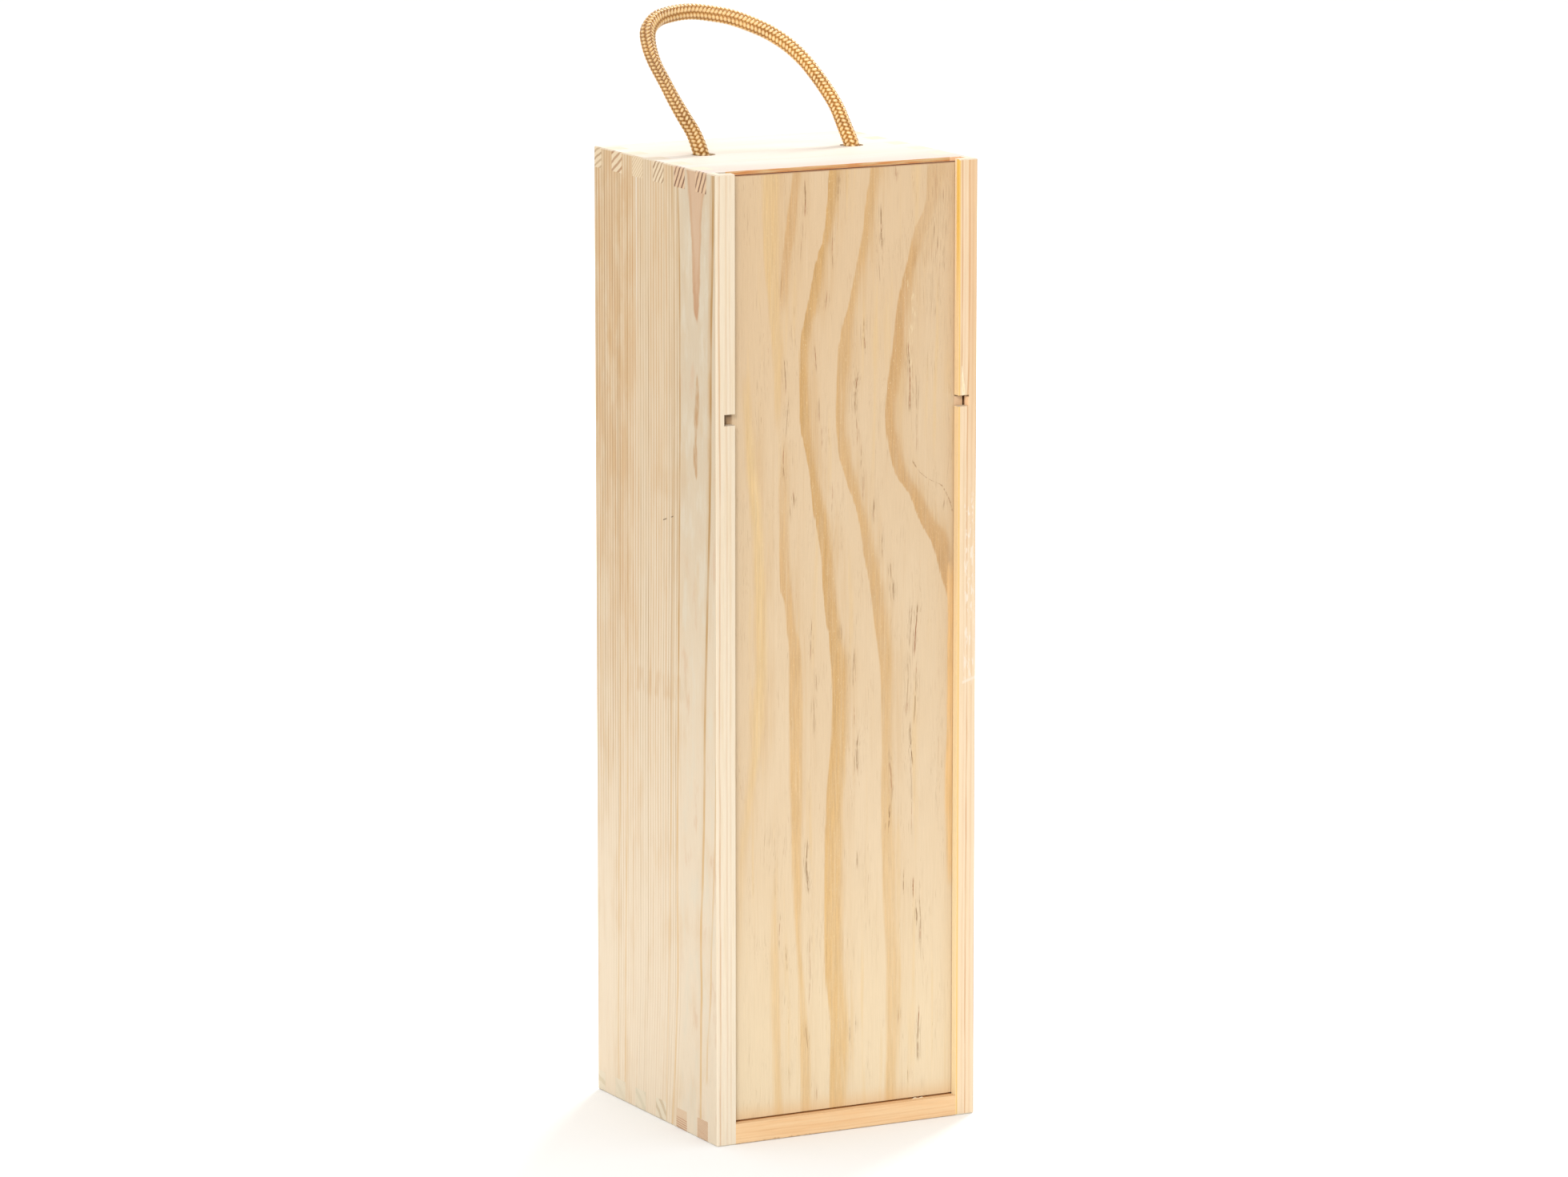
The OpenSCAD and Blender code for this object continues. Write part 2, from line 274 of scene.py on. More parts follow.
def pine_side():
    t = Tree("pine_side")
    z, front = t.z, t.y * -1
    right = t.x.over(0)
    left = 1 - right
    deep = HALF_W - abs(t.x)
    # The hidden right board has the same rings, turned end for end and shifted.
    u = front * left + (front * -0.93 + 5) * right
    v = z * left + (HIGH - z) * right
    wander = (t.noise(u / 30, deep / 30, v / 130) - 0.5) * 0.9
    ragged = (t.noise(u / 0.8, deep / 0.8, v / 30) - 0.5) * 0.35

    # Growth rings about 2 mm apart that lean to the back towards the bottom. In front of them the wood is clear.
    lean = t.curve(v, [(0, 7.2), (30, 4.6), (60, 2.8), (150, 2), (240, 0.4), (350, 0)])
    rings = (u + lean * (u + 60) / 80 + deep * 0.35 + wander + ragged + 18.1) / 2.07
    ring = rings.floor()
    part = rings.fract()
    late = part.ease(0.28, 0.5) * part.fall(0.56, 0.74)
    chance = t.dice(ring)
    broken = t.noise(ring * 3.7, v / 50, detail=3).ease(0.34, 0.6, 0.45, 1)
    crowd = u.ease(18, 21, 1, 0.05)
    faded = u.fall(-37, -29) * v.ease(70, 130, 0.85, 0)
    rings_dark = late * (chance * 0.45 + 0.55) * broken * crowd * v.ease(0, 190, 0.34, 1) * (1 - faded)

    # Broad tones: the back third is warmer, most of all high up, with upright smudges.
    block = (u + (t.noise(v / 60, u / 9) - 0.5) * 7).fall(-19, -12.5)
    smudge = t.noise(u / 3.4, deep / 4, v / 38, detail=3, rough=0.6)
    cloudy = t.noise(u / 10 + 3, deep / 9, v / 22, detail=4, rough=0.6)
    tan = block * v.ease(70, 280, 0, 1) * smudge.ease(0.3, 0.65, 0.6, 1) * cloudy.ease(0.36, 0.6, 0.35, 1)
    patches = t.noise(u / 12, deep / 10, v / 60, detail=3)
    # Painted light and shade: the base colour is paler low on the left board and darker high up, as the floor's bounce
    # light falls.
    base = t.mix(v.ease(30, 330), (245, 226, 198), (232, 207, 172))
    clear = u.ease(16, 24)
    pale = t.noise(u / 7 + 9, deep / 7, v / 24, detail=4, rough=0.6)
    base = t.lay(
        base,
        (clear * v.ease(120, 300) * 0.8, (224, 205, 176)),
        (tan * 0.8, (221, 182, 134)),
        (smudge.ease(0.48, 0.7) * 0.42 * crowd * v.ease(20, 200, 0.35, 1), (222, 184, 134)),
        (block * cloudy.fall(0.24, 0.52) * v.ease(150, 300, 0.2, 0.4), (236, 214, 180)),
        (patches.ease(0.5, 0.75) * 0.4, (243, 224, 194)),
        (t.noise(u / 9, deep / 9, v / 28, 3).ease(0.5, 0.72) * 0.3, (226, 190, 142)),
        (clear * pale.ease(0.48, 0.66) * 0.55, (236, 224, 200)),
        (clear * pale.fall(0.3, 0.44) * 0.45, (226, 186, 150)),
        (line(t, u, v, [(0, -13.6), (300, -13.4), (350, -14.3)], 0.4, 1.2) * v.ease(285, 305) * 0.6, (244, 230, 208)))
    ring_tone = t.mix(t.dice(ring + 31.5).ease(0.3, 0.7), (176, 140, 90), (200, 148, 84))
    colour = t.mix((rings_dark * (block * v.ease(170, 250, 0, 0.3) + 0.8)).least(1), base, ring_tone)

    # The pointed figure near the front and the resin streak under its tip.
    torn = ragged * 1.5 + (t.noise(u / 2.4, v / 7, 5, detail=3) - 0.5) * 2.2
    from_left, from_right = u - t.curve(v, V_LEFT) + torn, t.curve(v, V_RIGHT) - u + torn
    inside = from_left.ease(-0.9, 0.9) * from_right.ease(-0.9, 0.9) * v.ease(294.5, 299.5)
    rim = inside * (1 - from_left.ease(0.4, 2.4) * from_right.ease(0.2, 1.9))
    low = v.fall(299, 322)
    core = inside * low * t.noise(u / 1.3, v / 6, detail=3, rough=0.6).ease(0.3, 0.6, 0.35, 1)
    off = abs(u + torn * 0.25 - t.curve(v, STREAK_PLACE))
    wide = t.curve(v, STREAK_WIDE)
    streak = (wide - off).ease(-0.8, 0.6) * t.noise(u / 1.2, v / 5, 8, detail=3).ease(0.3, 0.62, 0.45, 1)

    # Single strong rings.
    strong = reduce(Val.most, [line(t, u + ragged, v, points, half, 0.7) * power for points, half, power in SIDE_LINES])
    strong = strong.most(line(t, u + ragged, v, SIDE_LOW_LINE, 0.35) * span(v, 24, 138) * 0.6)
    strong = strong * t.noise(u / 6, v / 24).ease(0.25, 0.65, 0.5, 1)
    halo = line(t, u + 0.9, v, SIDE_LINES[2][0], 0.5, 1.9) * v.ease(180, 260, 0.2, 1)
    halo = halo * t.noise(u / 3, v / 16, 2).ease(0.3, 0.6, 0.3, 1)
    strong_tone = t.mix(v.ease(70, 230), (226, 180, 112), (188, 142, 74))

    # Marks across the board that the planer left, and a fine scratch.
    low_mark = span(v + u * -0.06 + (t.noise(u / 4, 3) - 0.5) * 5, 158, 164, 3)
    chatter = low_mark * t.noise(u / 3, v / 20).ease(0.4, 0.62) * span(u, -14, 22, 8)
    chatter = chatter + span(v + (t.noise(u / 5, 9) - 0.5) * 6, 233, 238, 5) * span(u, 4, 22, 6) * 0.5
    scratch = abs(v - 219.5 - u * 0.31).fall(0.12, 0.35) * span(u, 6.8, 14.3, 0.5)
    scratch = scratch * (1 - span(u, 9.6, 12.6, 0.5))

    # The narrow front edge, where other rings come out.
    edge = front.ease(47.45, 47.62)
    tones = t.mix(right, t.mix(z.ease(60, 240), (250, 234, 208), (246, 228, 200)), (251, 225, 190))
    upper_right = right * z.ease(190, 300)
    drift = (t.noise(z / 90, 4) - 0.5) * 1.2 + (t.noise(z / 16, deep / 1.2) - 0.5) * 0.3
    at = deep + drift
    lines_left = (abs(at - 1.3).fall(0.15, 0.45) * 0.75 + abs(at - 4.1).fall(0.1, 0.6) * 0.35
                  + abs(at - 5.6).fall(0.1, 0.4) * 0.25)
    low_part = z.fall(262, 280)
    lines_right = (abs(at - 3.3 - low_part * 0.4).fall(0.12, 0.4) * 0.9
                   + abs(at - 6.25).fall(0.08, 0.45) * (1 - low_part) + abs(at - 5).fall(0.1, 0.5) * 0.25
                   + abs(at - 1.9).fall(0.15, 0.6) * 0.3 + abs(at - 0.1).fall(0.1, 0.5) * 0.6)
    lines = (lines_left * left + lines_right * right) * t.noise(z / 30, deep).ease(0.3, 0.6, 0.45, 1)
    scuffs = t.noise(deep / 1.1, z / 5, 12, rough=0.6).ease(0.52, 0.62)
    scuffs = scuffs * span(z, 168, 222, 14) * span(deep, 1.2, 4.6, 0.6) * 0.8
    across = abs(z - 162 + deep * 0.3).fall(0.25, 0.8) * deep.fall(5.2, 5.8) * 0.7
    tones = t.lay(
        tones,
        (upper_right * deep.ease(3.2, 4.2, 1, 0.25) * 0.75, (240, 198, 150)),
        (t.noise(deep / 1.6, z / 50, detail=3).ease(0.45, 0.75) * 0.35, (236, 205, 158)),
        (lines.least(1) * 0.62, (206, 142, 84)),
        (right * deep.ease(6.5, 7.2) * 0.85, (246, 198, 104)),
        (right * scuffs.most(across), (254, 239, 219)))
    inner_lip = right * deep.ease(7.35, 7.48) * front.ease(44.7, 44.9)
    # Painted light: the inner lip face is given colours above 1, as if lit; towards the front it is the wood's own
    # resin yellow, also above 1.
    lip_tone_and_painted_light = t.mix(z.ease(100, 260), (1.16, 0.93, 0.56, 1), (1.18, 0.85, 0.47, 1))
    lip_tone_and_painted_light = t.mix(z.ease(285, 330) * front.fall(45.4, 46.2), lip_tone_and_painted_light, (1.25, 0.93, 0.58, 1))
    lip_tone_and_painted_light = t.mix(z.ease(285, 330) * front.ease(45.8, 46.5), lip_tone_and_painted_light, (1.15, 0.7, 0.15, 1))
    # Painted shade: the grooves' walls are a darker warm brown; painted light, a colour above 1, at the top of the
    # right board's groove.
    groove_painted_shade_and_light = deep.ease(3.1, 3.18) * span(front, 40.7, 44.78, 0.03) * (1 - inner_lip)
    # Painted shade: the notch walls are dark brown, the right notch's only just under its ceiling; below that they get
    # painted light, a colour above 1.
    notch_wall_painted_shade_and_light = span(z, NOTCH_LOW - 0.01, NOTCH_HIGH + 0.01, 0.01) * deep.ease(LIP + 0.02, LIP + 0.08) * front.over(44)

    # End grain on the board's ends and its fingers' ends.
    end = abs(t.nz).ease(0.5, 0.8)
    colour = t.lay(
        colour,
        (inside * 0.75, (222, 180, 142)),
        (rim * low.most(0.8) * 0.65, (202, 156, 108)),
        (core * 0.85, (204, 154, 110)),
        (streak * 0.85, (200, 154, 100)),
        (halo * 0.6, (214, 172, 118)),
        (strong * v.ease(20, 160, 0.7, 0.88), strong_tone),
        (chatter * 0.3, (209, 166, 112)),
        (scratch * 0.75, (112, 88, 56)),
        (edge, tones),
        (inner_lip, lip_tone_and_painted_light),
        (groove_painted_shade_and_light * 0.8, t.mix(right * z.ease(344, 347), (180, 116, 60), (1.5, 0.86, 0.44, 1))),
        (notch_wall_painted_shade_and_light, t.mix(right * z.fall(263.9, 264.9), (120, 80, 40), (1.5, 1.02, 0.62, 1))),
        (end, t.mix(late * chance * 0.4, (246, 229, 204), (226, 192, 148))),
        # Painted light: the bottom arris is painted pale, as if lit.
        (z.fall(0.35, 0.5), (255, 240, 214)),
        # At the top the wall behind the groove catches the light.
        (z.ease(347, 349.5) * span(front, 39.5, 44.9, 0.1) * deep.ease(2, 3) * left, (255, 244, 226)))

    fibre = t.noise(u / 0.35, deep / 0.35, v / 9, detail=3, rough=0.6)
    colour = t.times(colour, fibre.ease(0.2, 0.8, 0.955, 1.03))
    pores = t.noise(u / 0.18, deep / 0.18, v / 0.18, detail=1)
    height = fibre * 0.035 + late * crowd * 0.012 - scratch * 0.05 + pores * end * 0.05
    # Painted light and shade: the whole colour is a little brighter low down and darker towards the top; the clear
    # front part is a touch darker too.
    shade = z.ease(10, 260, 1.03, 0.93) * clear.ease(0, 1, 1, 0.965) * WOOD
    return t.finish(colour, fibre.ease(0.2, 0.8, 0.52, 0.66), height, shade=shade)


# ---- pine top and bottom boards
def finger_grain(t, front, z, slopes, gaps, through, darks, hues, duty=0.36):
    """Stripes of end grain, with an angle, spacing, place, darkness and colour of its own in each finger.

    The lists run from the front finger to the back one. Angles are from the horizontal, rising to the front, and
    through holds a place (in front of the middle, height) on one dark stripe of each finger.
    """
    number = ((FINGER_END + (PITCH - FINGER) / 2 - front) / PITCH).floor()
    def each(values):
        steps = []
        for i, value in enumerate(values):
            steps += [(i - 0.45, value), (i + 0.45, value)]
        return t.curve(number, steps, corners=True)
    along = each([math.sin(math.radians(s)) / g for s, g in zip(slopes, gaps)])
    up = each([math.cos(math.radians(s)) / g for s, g in zip(slopes, gaps)])
    wobble = (t.noise(front / 3, z / 3, t.x / 40) - 0.5) * 0.3
    phase = (front - each([p[0] for p in through])) * along - (z - each([p[1] for p in through])) * up + wobble + 0.5
    off = abs(phase.fract() - 0.5)
    stripe = off.fall(duty / 2 - 0.08, duty / 2 + 0.09)
    stripe = stripe * t.dice(phase.floor() + number * 13).ease(0, 1, 0.75, 1)
    ramp = t.new("ValToRGB")
    ramp.color_ramp.interpolation = "CONSTANT"
    stops = ramp.color_ramp.elements
    while len(stops) < len(hues):
        stops.new(0.5)
    for i, (stop, hue) in enumerate(zip(stops, hues)):
        stop.position = i / len(hues)
        stop.color = srgb(*hue)
    t.put(ramp.inputs[0], (number + 0.5) / float(len(hues)))
    return stripe, each(darks), ramp.outputs[0]


def fibres_along_x(t, colour, end, darkest, raised):
    """Fine long grain, with pores where end is 1. Gives the colour, roughness and height that finish takes."""
    fibre = t.noise(t.x / 9, t.y / 0.35, t.z / 0.35, detail=3, rough=0.6)
    pores = t.noise(t.x / 0.2, t.y / 0.2, t.z / 0.2, detail=1)
    colour = t.times(colour, fibre.ease(0.2, 0.8, darkest, 1.03))
    return colour, fibre.ease(0.2, 0.8, 0.52, 0.66), fibre * raised * (1 - end) + pores * end * 0.05


def pine_top():
    t = Tree("pine_top")
    x, z, front = t.x, t.z, t.y * -1
    stripe, dark, hue = finger_grain(
        t, front, z, slopes=[63.5, 58, 52, 44, 33, 27], gaps=[2.58, 2.35, 2.05, 1.15, 2.65, 2.2],
        through=[(36.5, 346.75), (18.6, 346.7), (1.5, 346.65), (-13, 346.6), (-28.9, 345.6), (-44.85, 346.8)],
        darks=[0.95, 0.92, 0.85, 0.5, 0.85, 0.7],
        hues=[(112, 70, 42), (122, 80, 52), (142, 104, 66), (172, 138, 98), (164, 112, 62), (160, 124, 80)])
    end = abs(t.nx).ease(0.5, 0.8)
    ends = t.mix(front.ease(8, 14), (236, 212, 176), (226, 190, 152))
    ends = t.mix((stripe * dark).least(1), ends, hue)

    # Long grain on the top, under and front faces, along x.
    wander = (t.noise(x / 60, front / 14, z / 8) - 0.5) * 1.6
    rings = (front * 0.8 + z * 0.35 + wander) / 3.1
    late = rings.fract().ease(0.4, 0.85) * rings.fract().fall(0.9, 1)
    base = t.mix(t.noise(front / 16, x / 70, detail=3).ease(0.4, 0.7) * 0.6, (242, 230, 214), (249, 241, 230))
    base = t.mix(front.ease(-14, 46), base, (0.82, 0.742, 0.753, 1), "MULTIPLY")
    colour = t.mix(late * t.dice(rings.floor()).ease(0, 1, 0, 0.25), base, (232, 200, 168))
    strip = t.ny.fall(-0.9, -0.5) * front.ease(39, 40)
    strip_tone = t.mix(t.noise(x / 11, z / 0.6, detail=3).ease(0.35, 0.65), (244, 160, 88), (255, 214, 152))
    colour = t.mix(strip * 0.95, colour, strip_tone)
    colour = t.mix(end, colour, ends)

    colour, rough, height = fibres_along_x(t, colour, end, 0.96, 0.03)
    return t.finish(colour, rough, height - stripe * dark * end * 0.03, shade=WOOD)


def pine_bottom():
    t = Tree("pine_bottom")
    x, z, front = t.x, t.z, t.y * -1
    stripe, dark, hue = finger_grain(
        t, front, z, slopes=[-12, -3, -45, -38, -35, -14], gaps=[0.57, 0.86, 4.2, 5, 5.4, 5],
        through=[(36, 4), (20, 2.3), (5.5, 4.9), (-13.5, 4), (-29, 3), (-45, 4)],
        darks=[0.85, 0.85, 0.6, 0.4, 0.25, 0.4],
        hues=[(192, 138, 98), (190, 132, 94), (196, 164, 122), (206, 196, 166), (216, 200, 170), (206, 186, 144)],
        duty=0.38)
    # The second finger has its lines in the lower half only.
    stripe = stripe * (1 - span(front, 15, 25, 0.5) * z.ease(4, 4.6))
    end = abs(t.nx).ease(0.5, 0.8)
    ends = t.mix(front.ease(10, 14), (243, 228, 200), (236, 206, 172))
    ends = t.mix((stripe * dark).least(1), ends, hue)

    wander = (t.noise(x / 45, front / 10, z / 6) - 0.5) * 1.3
    rings = (front * 0.35 + z + wander) / 1.05
    late = rings.fract().ease(0.25, 0.7) * rings.fract().fall(0.8, 1)
    base = t.mix(t.noise(x / 25, z / 2, front / 9, detail=3).ease(0.35, 0.7), (257, 217, 167), (253, 207, 154))
    colour = t.mix(late * t.dice(rings.floor()).ease(0, 1, 0.05, 0.28), base, (228, 170, 114))
    # A ragged dark line along the board's foot.
    ragged_foot_line = t.noise(x / 3.4, 5, detail=4, rough=0.7).ease(0.42, 0.72) * x.ease(-30, 20, 1, 0.35)
    colour = t.lay(
        colour,
        ((z - ragged_foot_line * 1.1).fall(-0.1, 0.3) * 0.45, (150, 104, 62)),
        # Painted shade on the top where the lid stands, a warm brown in the gap under the lid.
        (z.ease(7.2, 7.45) * span(front, 41, 44.8, 0.3) * 0.9, (220, 146, 78)),
        # Painted light: the bottom arris is painted pale, most of all on the front face.
        (z.fall(0.35, 0.5) * front.ease(46, 46.5, 1, 0.3), (255, 236, 206)),
        (end, ends))

    return t.finish(*fibres_along_x(t, colour, end, 0.95, 0.035), shade=WOOD)


# ---- plywood
# The bands of the lid's face: their edges as (height, x on the left, x on the right), each edge's softness, the
# strength along the height as (height, strength) and the colour. None is a height that only the other edge turns at.
BANDS = [
    ([(260, -27.5, -25.5), (280, -28, -25), (300, -29.5, -25), (320, -31.5, -25.5), (350, -32.5, -25.5)],
     1.2, 1.5, [(255, 0), (275, 0.6), (350, 0.8)], (228, 192, 136)),
    ([(300, -25.5, -22.5), (318, -24.5, -21), (325, -23.5, -19.5), (335, -22, -18.5), (350, -20, -17)],
     0.8, 1.2, [(298, 0), (312, 0.7), (350, 0.8)], (206, 160, 104)),
    ([(5, -5, 1), (35, -5, 2.5), (60, -7, 0.5), (90, -7.5, 0), (115, -7, 0), (135, -5.5, 1.5), (150, -4.4, None),
      (165, -4.5, 2), (180, -5.5, 0), (190, -7, -1.5), (210, -9, -4), (220, -10.5, -5), (230, -12.5, -7.5),
      (240, -13.5, -10), (250, -15.5, -11.5), (265, -17.5, -13), (280, -17.5, -13.5), (292, -16.5, -12.5),
      (300, -14.5, -10), (310, -12.5, -8), (318, -10.5, -7), (325, -8, -5), (335, -6.5, -2.5), (350, -5.3, -1.2)],
     0.35, 2.4, [(5, 0.85), (120, 0.95), (350, 1)], (206, 161, 99)),
    ([(5, 17.8, 22.5), (20, 18, 23), (50, 18, 24), (70, 17.5, 23), (100, 16, 22), (125, None, 20.5),
      (150, 16, None), (165, 15.5, 20.5), (180, 13.5, 19.5), (190, 12, 18), (200, 10.5, 16), (210, 8.5, 13.5),
      (220, 7, 11.5), (230, 4, 8), (240, 0.5, 5), (250, -2, 2.5), (265, -3, 1), (280, -2.5, 3), (290, -1, 4),
      (300, 2, 5.5), (315, 5.5, 9), (325, 7.5, 11.5), (335, 9, 13), (350, 11, 15.5)],
     0.5, 2.6, [(5, 0.8), (60, 0.6), (120, 0.65), (200, 0.8), (350, 0.85)], (210, 166, 108)),
    ([(186, 43, 46), (190, 42.8, 46), (200, 40, 45), (210, 37, 44), (220, 31.5, 38), (230, 27, 32), (240, 20.5, 26),
      (250, 18, 23), (260, 17, 21), (270, 18, 23), (280, 19.5, 25), (290, 20.5, 25.5), (300, 22, 27), (308, 24, 28),
      (315, 26, 30.5), (325, 28.5, 34), (335, 33, 38), (350, 34.5, 42)],
     0.6, 2.6, [(186, 0), (200, 0.9), (225, 0.9), (240, 0.85), (260, 0.95), (310, 0.95), (322, 0.6),
               (335, 0.4), (350, 0.4)], (204, 158, 102)),
    # This band beside the right lip is painted lighter: painted light where the lip's shadow falls on the lid.
    ([(88, 43.2, 46), (110, 42.6, 46), (125, 42, None), (145, 42.8, None), (150, None, 46), (205, 42.8, 46)],
     0.8, 1.2, [(84, 0), (100, 0.9), (190, 0.9), (205, 0)], (250, 200, 134)),
    ([(50, -43.5, -41), (100, -42, -39.5), (120, -39.5, -36.5), (135, -37.5, -34.5), (145, -36.5, -32.5),
      (160, -36, -31), (175, -35, -30.5), (215, -36, -31.5), (230, -37, -32.5), (245, -38.5, -34.5),
      (260, -39.5, -36), (275, -40, -37)],
     2, 3, [(45, 0), (90, 0.4), (150, 0.8), (230, 0.85), (262, 0.55), (280, 0)], (236, 203, 148)),
    ([(5, -16.5, -12.5), (30, -17, -13), (45, -17.5, -14.5), (60, -18, -16), (75, -19, -17), (90, -20, -16.5),
      (115, -21, -16.5), (145, -21.5, -16), (175, -21.5, -16.5), (185, -22.5, -18.5), (195, -23.5, -20),
      (205, -25.5, -21), (230, -25.5, -22), (252, -25, -22)],
     0.6, 1.2, [(5, 0.7), (60, 0.7), (120, 0.85), (200, 0.8), (240, 0.5), (258, 0)], (214, 170, 112)),
    ([(5, -27.5, -24), (30, -28, -25), (60, -29, -25.5), (75, -28.5, -26), (105, -27, -26)],
     0.9, 1.2, [(5, 0.6), (60, 0.6), (90, 0.35), (108, 0)], (222, 180, 120)),
]
# Fine dark resin dashes: (x, low, high, strength in tenths).
DASH_APART = 9
DASHES = [
    (-22, 19, 24, 4), (-22.9, 62, 69, 6), (-25.4, 70, 81, 5), (-27.2, 88, 104, 2.5), (-21.6, 225, 229, 5),
    (-20, 230, 234, 9), (-23.1, 240, 251, 7), (-22.6, 255, 268, 5), (-24.1, 271, 282, 8), (-24.6, 305, 312, 3),
    (-11, 12, 16, 5), (-14.1, 31, 40, 5), (-13.2, 48, 72, 4), (-14.1, 89, 107, 9), (-12.2, 146, 159, 5),
    (-10.6, 162, 169, 5), (-12.9, 174, 187, 6), (-8.9, 251, 256, 6), (-9.7, 260, 267, 6), (-10.4, 278, 286, 6),
    (-17.5, 318, 324, 4), (-16.9, 325, 330, 5), (-16, 334, 345, 8), (5.6, 36, 40, 5), (5.6, 96, 101, 7),
    (6.5, 131, 144, 9), (4.6, 148, 154, 5), (4.6, 163, 175, 6), (-0.6, 179, 184, 6), (9, 230, 240, 5),
    (7.8, 242, 249, 5), (5.9, 251, 259, 6), (5.5, 262, 275, 9), (7.8, 283, 294, 7), (-6.6, 300, 305, 6),
    (-4.1, 314, 326, 5), (-2.3, 338, 347, 7), (2.8, 31, 39, 5), (19, 109, 117, 10), (19.6, 119, 136, 6),
    (20.2, 192, 199, 8), (19.6, 200, 206, 6), (16.5, 209, 216, 5), (13.4, 222, 229, 8), (-4.7, 226, 236, 4),
    (14, 308, 318, 4), (15.9, 320, 334, 9), (21.5, 344, 348, 7), (26.5, 14, 19, 5), (30.9, 22, 41, 10),
    (29.9, 72, 80, 9), (29, 83, 89, 10), (27.7, 106, 131, 4), (28.4, 132, 146, 9), (29.9, 147, 168, 6),
    (29, 172, 190, 9), (29, 246, 260, 3), (26.5, 261, 284, 10), (37.4, 318, 322, 7), (35.9, 323, 327, 7),
    (40, 335, 339, 6), (22.5, 37, 42, 5), (31.4, 64, 82, 6), (25.4, 85, 92, 7), (26.4, 150, 172, 5),
    (27, 175, 189, 6), (42, 224.5, 227, 7), (29, 260, 276, 4),
]


def dashes(t, x, z):
    """How strongly resin strokes gather here, and the fine dashes themselves."""
    # A row is one curve of places and one of strengths, so the dashes of a row lie more than DASH_APART apart.
    rows = []
    for dash in sorted(DASHES, key=lambda dash: dash[1]):
        for row in rows:
            if dash[1] - row[-1][2] > DASH_APART:
                row.append(dash)
                break
        else:
            rows.append([dash])
    gather, fine = [], []
    for row in rows:
        places, powers = [(0, row[0][0])], [(0, 0)]
        for place, low, high, tenths in row:
            places += [(low - 4, place), (high + 4, place)]
            powers += [(low - 1.6, 0), (low + 1.4, tenths / 10), (high - 1.4, tenths / 10), (high + 1.6, 0)]
        places.append((HIGH, row[-1][0]))
        powers.append((HIGH, 0))
        off, much = abs(x - t.curve(z, places, corners=True)), t.curve(z, powers, corners=True)
        gather.append(off.fall(0.5, 2.2) * much)
        fine.append(off.fall(0.05, 0.26) * much)
    return reduce(Val.most, gather), reduce(Val.most, fine)


